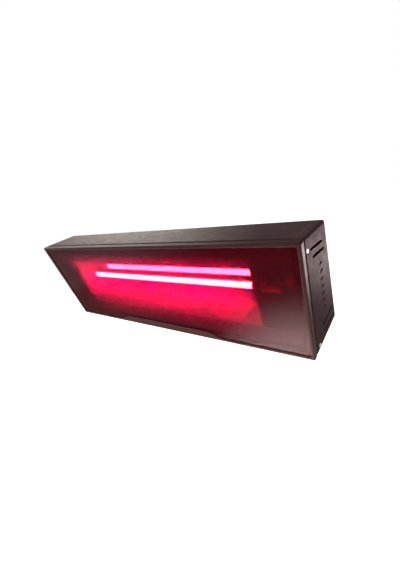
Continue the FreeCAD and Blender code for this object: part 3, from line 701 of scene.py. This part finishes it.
def outward_x(points):
    """Which way along X a solid's outer end points."""
    return (math.copysign(1.0, sum(point.x for point in points)), 0, 0)


def back_normal():
    """The way out of the casing's sloping back."""
    (y, z), (next_y, next_z) = CASING_CORNERS[1:3]
    return Vector((0.0, z - next_z, next_y - y)).normalized()


def end_screw(mesh, points):
    """A screw through an end cap."""
    place, length = stand_on(points, outward_x(points), (0, 1, 0))
    cross_screw(mesh, place, length, END_SCREW)


def lug_screw(mesh, points):
    """A screw through a lug and the casing's back, with its nut inside."""
    place, length = stand_on(points, back_normal(), (1, 0, 0))
    cross_screw(mesh, place, length, LUG_SCREW)
    hexagon_head(mesh, place, LUG_NUT_FLATS, 0.0, LUG_NUT_HEIGHT, hole=LUG_SCREW["shank"], both_ends=True)


def tilt_bolt(name):
    """A builder of hexagon bolts with their nuts."""
    bolt = TILT_BOLTS[name]

    def build(mesh, points):
        place, length = stand_on(points, outward_x(points), (0, 0, 1))
        seat = length - bolt["rise"]
        nut = seat - BOLT_GRIP - bolt["rise"]
        hexagon_head(mesh, place, bolt["flats"], seat, length)
        threaded_rod(mesh, place, bolt["shank"], seat, bolt["pitch"])
        hexagon_head(mesh, place, bolt["flats"], nut, nut + bolt["rise"], hole=bolt["shank"], both_ends=True)
    return build


def fluted(seat, tip_end):
    """A shape with grooves round the clamp nut that run out before its foot and its tip."""
    def reach(angle, radius, height):
        run_in = clamped((height - seat - FLUTE_START) / FLUTE_RUN_IN)
        run_out = clamped((tip_end - FLUTE_END - height) / FLUTE_RUN_OUT)
        groove = max(0.0, math.cos(FLUTE_COUNT * angle)) ** 2
        return radius - FLUTE_DEPTH * (run_in * run_out) * groove
    return reach


def clamp_nut_profile(seat, tip_end):
    """The gland's tapering clamp nut with its neck, its rounded tip and its bore back to the seat."""
    taper = GLAND_WIDE - GLAND_NARROW
    profile = [(GLAND_WIDE - taper * share, seat + GLAND_RISE * share) for share in GLAND_RINGS]
    neck_radius, neck_height = profile[1]
    profile[1] = (neck_radius - GLAND_NECK, neck_height)
    wall = GLAND_NARROW - GLAND_BORE
    for i in range(1, GLAND_TIP_STEPS + 1):
        angle = math.radians(90 * i / GLAND_TIP_STEPS)
        inward, downward = wall / 2 * (1 - math.cos(angle)), wall / 2 * (1 - math.sin(angle))
        profile.append((GLAND_NARROW - inward, tip_end - downward))
    return profile + [(GLAND_BORE, tip_end - wall), (GLAND_BORE, seat)]


def cable_gland(mesh, points):
    """The gland's hexagon, its thread and its fluted clamp nut with a rounded tip round the bore."""
    place, length = stand_on(points, back_normal(), (1, 0, 0))
    seat = GLAND_THREAD_LENGTH + GLAND_HEX_HEIGHT
    hexagon_head(mesh, place, GLAND_FLATS, GLAND_THREAD_LENGTH, seat, hole=GLAND_BORE)
    threaded_tube(mesh, place, GLAND_THREAD_RADIUS, GLAND_BORE, GLAND_THREAD_LENGTH, GLAND_THREAD_PITCH)
    rings = round_rings(mesh, place, clamp_nut_profile(seat, length), fluted(seat, length))
    join_rings(mesh, rings[0], rings[-1])


def hardware(name, build):
    """A mesh piece in place of a CAD node of fasteners, one for each of its solids, in the node's finish."""
    shape = bmesh.new()
    for points in solids_of(name):
        build(shape, points)
    bmesh.ops.recalc_face_normals(shape, faces=shape.faces)
    mesh = bpy.data.meshes.new(name + "_detail")
    shape.to_mesh(mesh)
    shape.free()
    mesh.shade_smooth()
    mesh.set_sharp_from_angle(angle=SHARP_ANGLE)
    piece = bpy.data.objects.new(name + "_detail", mesh)
    scene.collection.objects.link(piece)
    slot = slot_of_node[name]
    mesh.materials.append(finishes[slot])
    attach(piece, "heater")
    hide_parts(name)


hardware("end_screws", end_screw)
hardware("lug_screws", lug_screw)
hardware("pivot_bolts", tilt_bolt("pivot_bolts"))
hardware("lock_bolts", tilt_bolt("lock_bolts"))
hardware("cable_gland", cable_gland)


def make_camera():
    """The camera that sees the heater as the photograph does."""
    camera = bpy.data.cameras.new("camera")
    camera.sensor_width = SENSOR
    camera.lens = FOCAL_PIXELS / IMAGE_HEIGHT * SENSOR
    camera.shift_x, camera.shift_y = CAMERA_SHIFT
    camera.clip_start = CAMERA_NEAR
    holder = bpy.data.objects.new("camera", camera)
    back = CAMERA_RIGHT.cross(CAMERA_UP)
    turn = Matrix((CAMERA_RIGHT, CAMERA_UP, back)).transposed()
    holder.matrix_world = Matrix.Translation(CAMERA_PLACE) @ turn.to_4x4()
    scene.collection.objects.link(holder)
    scene.camera = holder


def seen_directly(tree, kinds):
    """1 on camera rays and on the kinds of ray that are named, and 0 on all others."""
    path = add_node(tree, "ShaderNodeLightPath")
    total = path.outputs["Is Camera Ray"]
    for name in kinds:
        total = calculate(tree, "ShaderNodeMath", "MAXIMUM", total, path.outputs[name]).outputs["Value"]
    return total


def make_world():
    """White surroundings where they are seen, mirrored or behind glass, and dimmer where they light."""
    world = bpy.data.worlds.new("studio")
    world.use_nodes = True
    scene.world = world
    tree = world.node_tree
    sky = tree.nodes["Background"]
    seen = seen_directly(tree, ("Is Glossy Ray", "Is Transmission Ray"))
    feed(tree, sky.inputs["Color"], WHITE)
    feed(tree, sky.inputs["Strength"], map_range(tree, seen, 0.0, 1.0, AMBIENT, BACKGROUND_WHITE))


def make_floor():
    """A pale floor well under the heater that glows towards white where it is seen."""
    half = FLOOR_SIZE / 2
    corners = [(-half, -half, 0), (half, -half, 0), (half, half, 0), (-half, half, 0)]
    mesh = bpy.data.meshes.new("floor")
    mesh.from_pydata(corners, [], [(0, 1, 2, 3)])
    floor = bpy.data.objects.new("floor", mesh)
    floor.location.z = cad_box[0].z - FLOOR_DROP
    scene.collection.objects.link(floor)
    finish = Finish("floor", FLOOR_COLOUR, roughness=0.9)
    seen = seen_directly(finish.tree, ("Is Transmission Ray",))
    finish.set("Emission Color", WHITE)
    finish.set("Emission Strength", finish.ramp(seen, 0.0, 1.0, 0.0, FLOOR_GLOW))
    mesh.materials.append(finish.material)


def fade_to_edges(lamp):
    """Makes a lamp's panel brightest in its middle and dark at its rim."""
    lamp.use_nodes = True
    tree = lamp.node_tree
    place = add_node(tree, "ShaderNodeNewGeometry").outputs["Parametric"]
    centred = calculate(tree, "ShaderNodeVectorMath", "SUBTRACT", place, PANEL_CENTRE).outputs["Vector"]
    distance = calculate(tree, "ShaderNodeVectorMath", "LENGTH", centred).outputs["Value"]
    strength = map_range(tree, distance, 0.0, PANEL_RIM, PANEL_MIDDLE, 0.0, "SMOOTHSTEP")
    feed(tree, tree.nodes["Emission"].inputs["Strength"], strength)


def softbox(name, place, target, size, power, colour=(1, 1, 1), roll=0.0):
    """A soft panel light that points at a target, hidden from the camera. Its power is in watts."""
    lamp = bpy.data.lights.new(name, "AREA")
    lamp.shape = "RECTANGLE"
    lamp.size, lamp.size_y = size
    lamp.energy = power
    lamp.color = colour
    fade_to_edges(lamp)
    holder = bpy.data.objects.new(name, lamp)
    holder.location = place
    aim = (Vector(target) - Vector(place)).to_track_quat("-Z", "Y")
    holder.rotation_euler = (aim @ Quaternion((0, 0, 1), roll)).to_euler()
    holder.visible_camera = False
    scene.collection.objects.link(holder)


make_camera()
make_world()
make_floor()
softbox("back_left", place=(-1.08, 0.86, 0.3), target=(-0.15, -0.1, 0.1), size=(1.6, 1.0),
        power=18.0, colour=(1.0, 0.93, 0.86))
softbox("front_low", place=(0.03, -0.5, -0.48), target=(0.22, -0.14, -0.03), size=(0.6, 0.45),
        power=16.0, colour=(1.0, 0.8, 0.8))
softbox("overhead", place=(0.1, -0.3, 1.6), target=(0.0, -0.1, 0.0), size=(1.6, 1.6), power=8.0)
softbox("back_low", place=(0.56, 0.66, -0.36), target=(0.25, -0.1, 0.05), size=(0.5, 0.4),
        power=7.0, colour=(1.0, 0.78, 0.8))
softbox("left_front", place=(-1.49, -1.27, -0.53), target=(0.04, -0.13, 0.1), size=(1.3, 0.4),
        power=2.8, colour=(0.87, 0.78, 1.0), roll=math.radians(-17))
softbox("left_edge", place=(-1.35, -0.4, 0.56), target=(-0.2, -0.14, 0.11), size=(0.6, 0.6),
        power=20.0, colour=(1.0, 0.96, 0.9))

scene.view_settings.view_transform = "Standard"
